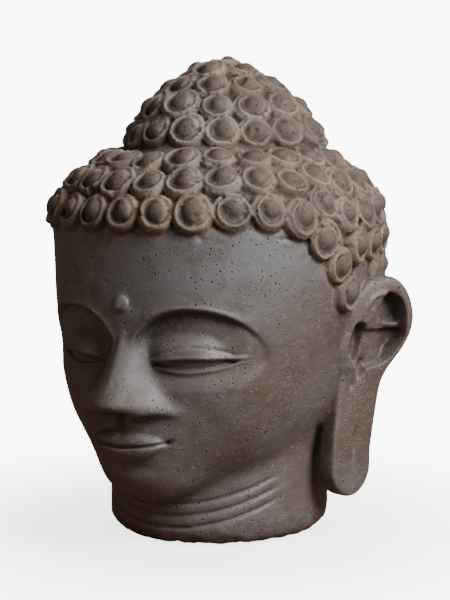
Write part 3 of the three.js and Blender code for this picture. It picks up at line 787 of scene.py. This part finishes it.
def rough_out(at, points):
    """How far each point is pushed in or out by the carver's hand and by wear, in finger widths."""
    _, gap = nearest_curl(points, at)
    hair = ramp(*HAIR_FADE, gap)
    low = points[:, 2] - BASE
    uneven = 0.022 * noise(points, 0.5, 1) + 0.012 * noise(points, 1.3, 2)
    grain = noise(points, 4.0, 3) + 0.7 * noise(points, 8.0, 4)
    chipped = -0.09 * ramp(0.45, 0.8, noise(points, 1.9, 7)) * hair
    worn_edge = ramp(1.6, 0.3, low) * (0.05 * noise(points, 2.2, 5) - 0.06 * np.maximum(noise(points, 3.5, 6), 0))
    return uneven + grain * mix(0.002, 0.016, hair) + chipped + worn_edge


def swayed(at, points):
    """Sideways shifts that make no two curls alike, in finger widths."""
    _, gap = nearest_curl(points, at)
    hair = ramp(*HAIR_FADE, gap)
    sway = [0.055 * noise(points, 0.9, seed) + 0.02 * noise(points, 2.6, seed + 3) for seed in (21, 22, 23)]
    return np.stack(sway, axis=1) * hair[:, None]


def pitted(points, count, seed):
    """Small round pits, scattered over the stone: their depth at each point, in finger widths."""
    rng = np.random.default_rng(seed)
    tree = KDTree(len(points))
    for i, p in enumerate(points):
        tree.insert(p, i)
    tree.balance()
    depth = np.zeros(len(points))
    for i in rng.integers(0, len(points), count):
        radius = rng.uniform(*PITS["radius"])
        for _, j, away in tree.find_range(points[i], radius * 1.3):
            depth[j] = max(depth[j], 0.6 * radius * float(bell(away / (0.65 * radius))))
    return depth


def recesses(mesh, passes):
    """How deep each point lies below the smoothed surface, in finger widths."""
    edges = np.empty(len(mesh.edges) * 2, np.int32)
    mesh.edges.foreach_get("vertices", edges)
    a, b = edges.reshape(-1, 2).T
    points = points_of(mesh)
    count = np.bincount(np.concatenate([a, b]), minlength=len(points))[:, None]
    smooth = points.copy()
    for _ in range(passes):
        total = np.stack(
            [np.bincount(a, smooth[b, i], len(points)) + np.bincount(b, smooth[a, i], len(points)) for i in range(3)],
            axis=1,
        )
        smooth = 0.4 * smooth + 0.6 * total / count
    return ((smooth - points) * normals_of(mesh)).sum(axis=1) / FINGER


def stone_head(stone):
    at, out = lay_curls()
    low, high = np.array([-9.6, -11.6, BASE - 0.4]), np.array([9.6, 9.8, CANON_FINGERS + 0.3])
    points, quads = surface_net(grid_values(head, low, high, GRID), low, GRID)
    bare = new_object("buddha_head_stone", to_room(points), quads)
    bare.data.materials.append(stone)
    block = fused([bare, curls_on(at, out, stone)], VOXEL)

    points = from_room(points_of(block.data))
    _, gap = nearest_curl(points, at)
    points = back_to_form(points, gap > CURL["radius"] * 1.25)
    normals = normals_of(block.data)
    points += swayed(at, points) + normals * rough_out(at, points)[:, None]
    points -= normals * pitted(points, PITS["count"], PITS["seed"])[:, None]
    on_base = points[:, 2] < BASE + 0.02
    points[on_base, 2] = BASE
    put_points(block.data, to_room(points))

    thin = block.modifiers.new("thin", "DECIMATE")
    thin.ratio = TRIANGLES / (2 * len(block.data.polygons))
    thin.use_collapse_triangulate = True
    finished_mesh(block)
    mesh = block.data
    mesh.polygons.foreach_set("use_smooth", np.ones(len(mesh.polygons), bool))

    points = from_room(points_of(mesh))
    which, gap = nearest_curl(points, at)
    over = ((points - at[which]) * out[which]).sum(axis=1)
    aside = np.sqrt(np.maximum(gap**2 - over**2, 0))
    add_attribute(mesh, "hair", ramp(CURL["radius"] * 1.3, CURL["radius"] * 1.1, gap))
    add_attribute(mesh, "boss", ramp(0.62, 0.5, aside / CURL["radius"]) * ramp(0.2, 0.4, over / CURL["height"]))
    add_attribute(mesh, "fine_recess", clamp(recesses(mesh, 6) * 12, -1, 1))
    add_attribute(mesh, "deep_recess", clamp(recesses(mesh, 60) * 3, -1, 1))
    return block


# ---------------------------------------------------------------- the stone's finish
def stone_material():
    material = bpy.data.materials.new("dark_volcanic_stone")
    material.use_nodes = True
    t = Tree(material.node_tree)
    t.tree.nodes.clear()
    place = t.node("ShaderNodeTexCoord").outputs["Object"]

    def blotches(scale, detail=4.0, rough=0.5, at=place):
        grain = {"Vector": at, "Scale": scale, "Detail": detail, "Roughness": rough}
        return t.node("ShaderNodeTexNoise", grain).outputs["Fac"]

    def attribute(name):
        return t.node("ShaderNodeAttribute", attribute_name=name).outputs["Fac"]

    def spread(value, low, high, to_low=0.0, to_high=1.0):
        return t.node(
            "ShaderNodeMapRange",
            {"Value": value, "From Min": low, "From Max": high, "To Min": to_low, "To Max": to_high},
            interpolation_type="SMOOTHSTEP",
        ).outputs[0]

    figure, times = t.figure, t.times

    def plus(a, b, clamped=True):
        return figure("ADD", a, b, clamped)

    def over(below, above, amount):
        """One colour laid over another, by an amount: a colour mix keeps them on its sockets 6, 7 and 0."""
        mixer = t.node("ShaderNodeMix", data_type="RGBA")
        for place_in_node, value in ((0, amount), (6, below), (7, above)):
            t.fill(mixer.inputs[place_in_node], value)
        return mixer.outputs[2]

    wobble = t.node("ShaderNodeTexNoise", {"Vector": place, "Scale": 750.0, "Detail": 3.0}).outputs["Color"]
    shaken = t.node("ShaderNodeVectorMath", {0: wobble, 1: (0.0022, 0.0022, 0.0022)}, operation="MULTIPLY").outputs[0]
    shaken = t.node("ShaderNodeVectorMath", {0: place, 1: shaken}, operation="ADD").outputs[0]

    def scatter(scale, kept, size):
        """Specks, at most one in each cell of a loose grid: how far out from the middle of one, 1 at its edge."""
        cells = t.node("ShaderNodeTexVoronoi", {"Vector": shaken, "Scale": scale})
        lot = t.node("ShaderNodeSeparateColor", {"Color": cells.outputs["Color"]}).outputs
        grown = times(spread(lot[0], kept, kept * 0.4), plus(times(lot[1], size * 0.6), size * 0.6, False))
        return figure("DIVIDE", cells.outputs["Distance"], plus(grown, 0.001, False))

    hair, boss = attribute("hair"), attribute("boss")
    fine, deep = attribute("fine_recess"), attribute("deep_recess")
    skin = figure("SUBTRACT", 1.0, hair)

    # the block itself: brown below and behind, with a painted sheen of cool grey on the upper front where the key
    # light falls, broken into patches; clouded and faintly streaked
    rise = t.node("ShaderNodeSeparateXYZ", {"Vector": place}).outputs
    # painted sheen: lighter cool grey towards the top and front of the face, only on the bare stone
    painted_sheen = times(spread(rise[2], 0.12, 0.27), spread(rise[1], 0.02, -0.1))
    painted_sheen = times(plus(painted_sheen, times(spread(blotches(9.0, 3.0), 0.4, 0.62), 0.5)), skin)
    colour = over((0.096, 0.062, 0.046, 1), (0.126, 0.117, 0.114, 1), painted_sheen)
    colour = over(colour, (0.052, 0.036, 0.028, 1), times(spread(blotches(34.0, 7.0, 0.68), 0.46, 0.74), 0.65))
    rubbed = {"Vector": place, "Rotation": (0.9, 0.5, 0.4), "Scale": (50.0, 70.0, 260.0)}
    streaks = blotches(1.0, 3.0, 0.6, t.node("ShaderNodeMapping", rubbed).outputs[0])
    colour = over(colour, (0.170, 0.152, 0.142, 1), times(spread(streaks, 0.52, 0.74), 0.25))
    colour = over(colour, (0.048, 0.034, 0.028, 1), times(spread(streaks, 0.46, 0.3), 0.25))

    # dust on the coils and in the grooves of the hair, thicker in patches, and a thin film of it on the bosses
    patches = spread(blotches(22.0, 5.0, 0.62), 0.36, 0.64, 0.25, 1.0)
    dust = over((0.36, 0.265, 0.16, 1), (0.40, 0.335, 0.255, 1), spread(blotches(14.0, 3.0), 0.4, 0.6))
    grit = spread(blotches(620.0, 4.0, 0.75), 0.44, 0.62)
    off_boss = spread(boss, 0.0, 0.8, 1.0, 0.1)
    held = times(times(times(hair, off_boss), patches), plus(times(spread(fine, 0.1, -0.6), 0.5), 0.42))
    held = times(held, plus(times(grit, 0.55), 0.5))
    colour = over(colour, dust, held)
    near_hair = times(spread(hair, 0.0, 0.25), skin)
    colour = over(colour, dust, times(times(near_hair, grit), 0.5))

    # painted shade: darker in the deep hollows, and in the fine grooves of the hair
    colour = over(colour, (0.026, 0.018, 0.014, 1), times(spread(deep, 0.15, 0.75), 0.6))
    colour = over(colour, (0.022, 0.015, 0.011, 1), times(times(spread(fine, 0.1, 0.6), hair), 0.7))

    # crumbs of pale ash, and small pits, each a black spot of painted shade ringed by a pale painted highlight on its
    # rim
    crowd = spread(blotches(24.0, 5.0, 0.62), 0.46, 0.64, 0.08, 1.0)
    crumb = scatter(300.0, 0.7, 0.3)
    crumbs = times(spread(crumb, 1.0, 0.75), times(crowd, spread(boss, 0.0, 1.0, 1.0, 0.6)))
    colour = over(colour, (0.33, 0.30, 0.265, 1), times(crumbs, 0.75))
    sand = scatter(700.0, 0.8, 0.36)
    colour = over(colour, (0.27, 0.245, 0.215, 1), times(spread(sand, 1.0, 0.6), times(crowd, 0.4)))
    pores = spread(blotches(28.0, 4.0, 0.6), 0.40, 0.52, 0.12, 1.0)
    pore = scatter(300.0, 1.1, 0.3)
    # painted highlight: a pale ring round the rim of each pit
    lip = times(times(spread(pore, 2.0, 1.3), spread(pore, 0.8, 1.1)), times(pores, skin))
    colour = over(colour, (0.24, 0.22, 0.2, 1), times(lip, 0.28))
    # painted shade: a near-black spot inside each pit
    shaded_pits = times(spread(pore, 1.0, 0.75), pores)
    colour = over(colour, (0.007, 0.005, 0.004, 1), times(shaded_pits, 0.95))

    rough = spread(blotches(30.0, 5.0, 0.6), 0.3, 0.7, 0.5, 0.64)
    rough = plus(rough, times(plus(held, crumbs), 0.3))
    rough = plus(rough, times(spread(streaks, 0.5, 0.7), 0.08))

    height = plus(times(crumbs, 0.6), times(shaded_pits, -1.5), False)
    height = plus(height, times(times(grit, hair), 0.9), False)
    height = plus(height, times(blotches(480.0, 6.0, 0.72), 0.6), False)
    height = plus(height, times(streaks, 0.2), False)
    bump = t.node("ShaderNodeBump", {"Height": height, "Strength": 0.6, "Distance": 0.0006}).outputs[0]
    shader = t.node(
        "ShaderNodeBsdfPrincipled",
        {"Base Color": colour, "Roughness": rough, "Normal": bump, "Specular IOR Level": 0.7},
    )
    t.join(shader.outputs[0], t.node("ShaderNodeOutputMaterial").inputs[0])
    return material


# ---------------------------------------------------------------- the studio
def studio_floor():
    corners = np.array([(-3, -3, 0), (3, -3, 0), (3, 3, 0), (-3, 3, 0)], float)
    floor = new_object("floor", corners, np.array([[0, 1, 2, 3]]))
    material = bpy.data.materials.new("pale_floor")
    material.use_nodes = True
    t = Tree(material.node_tree)
    t.tree.nodes.clear()
    place = t.node("ShaderNodeTexCoord").outputs["Object"]
    reach = t.node("ShaderNodeVectorMath", {0: place}, operation="LENGTH").outputs["Value"]
    fading = t.node("ShaderNodeMapRange", {"Value": reach, "From Min": 0.14, "From Max": 0.46}).outputs[0]
    seen = t.node("ShaderNodeLightPath").outputs["Is Camera Ray"]
    paper = t.node("ShaderNodeBsdfDiffuse", {"Color": (0.9, 0.89, 0.88, 1)})
    glow = t.node("ShaderNodeEmission", {"Color": (1.0, 0.985, 0.97, 1), "Strength": 3.2})
    bright = t.node("ShaderNodeAddShader", {0: paper.outputs[0], 1: glow.outputs[0]})
    dull = t.node("ShaderNodeBsdfDiffuse", {"Color": (0.2, 0.12, 0.085, 1)})
    shown = t.node("ShaderNodeMixShader", {0: seen, 1: dull.outputs[0], 2: bright.outputs[0]})
    clear = t.node("ShaderNodeBsdfTransparent")
    blend = t.node("ShaderNodeMixShader", {0: fading, 1: shown.outputs[0], 2: clear.outputs[0]})
    t.join(blend.outputs[0], t.node("ShaderNodeOutputMaterial").inputs[0])
    floor.data.materials.append(material)


def studio_air():
    world = bpy.data.worlds.new("studio")
    bpy.context.scene.world = world
    world.use_nodes = True
    t = Tree(world.node_tree)
    t.tree.nodes.clear()
    seen = t.node("ShaderNodeLightPath").outputs["Is Camera Ray"]
    pale = t.node("ShaderNodeBackground", {"Color": (1.0, 0.985, 0.972, 1), "Strength": 10.0})
    dim = t.node("ShaderNodeBackground", {"Color": (1.0, 0.82, 0.7, 1), "Strength": 0.12})
    blend = t.node("ShaderNodeMixShader", {0: seen})
    t.join(dim.outputs[0], blend.inputs[1])
    t.join(pale.outputs[0], blend.inputs[2])
    t.join(blend.outputs[0], t.node("ShaderNodeOutputWorld").inputs[0])


def place_on_sphere(azimuth, elevation, distance):
    a, e = math.radians(azimuth), math.radians(elevation)
    return Vector((math.sin(a) * math.cos(e), -math.cos(a) * math.cos(e), math.sin(e))) * distance


def soft_light(name, azimuth, elevation, distance, size, power, colour, aim):
    light = bpy.data.lights.new(name, "AREA")
    light.shape = "DISK"
    light.size = size
    light.energy = power
    light.color = colour
    thing = bpy.data.objects.new(name, light)
    bpy.context.collection.objects.link(thing)
    thing.location = aim + place_on_sphere(azimuth, elevation, distance)
    thing.rotation_euler = (aim - thing.location).to_track_quat("-Z", "Y").to_euler()


def studio_camera():
    height = block_high[2]
    azimuth, lens, distance, camera_height = 31, 94.8, 3.385 * height, 0.82 * height
    turn = math.radians(azimuth)
    right = Vector((math.cos(turn), math.sin(turn), 0))
    aim = Vector((0, axis_place[1], 0.482 * height)) + right * 0.0135 * height
    camera = bpy.data.objects.new("camera", bpy.data.cameras.new("camera"))
    bpy.context.collection.objects.link(camera)
    back = math.sqrt(distance**2 - (camera_height - aim.z) ** 2)
    camera.location = aim + Vector((math.sin(turn), -math.cos(turn), 0)) * back
    camera.location.z = camera_height
    camera.rotation_euler = (aim - camera.location).to_track_quat("-Z", "Y").to_euler()
    camera.data.lens = lens
    bpy.context.scene.camera = camera


AXIS_BACK = 0.67  # fingers from the middle of the head's depth back to its axis
axis_place = np.array([0, AXIS_BACK * FINGER, -BASE * FINGER])

studio_camera()
studio_floor()
studio_air()
middle = Vector((0, 0, 0.5 * block_high[2]))
soft_light("key", 78, 34, 1.3, 0.8, 34, (0.94, 0.965, 1.0), middle)
soft_light("back", 215, 22, 1.5, 1.0, 14, (0.97, 0.98, 1.0), middle)
soft_light("fill", -45, -5, 1.4, 0.9, 1.3, (1.0, 0.6, 0.42), middle)

stone = stone_material()
head_stone = stone_head(stone)
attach(head_stone, "root")
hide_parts("buddha_head")
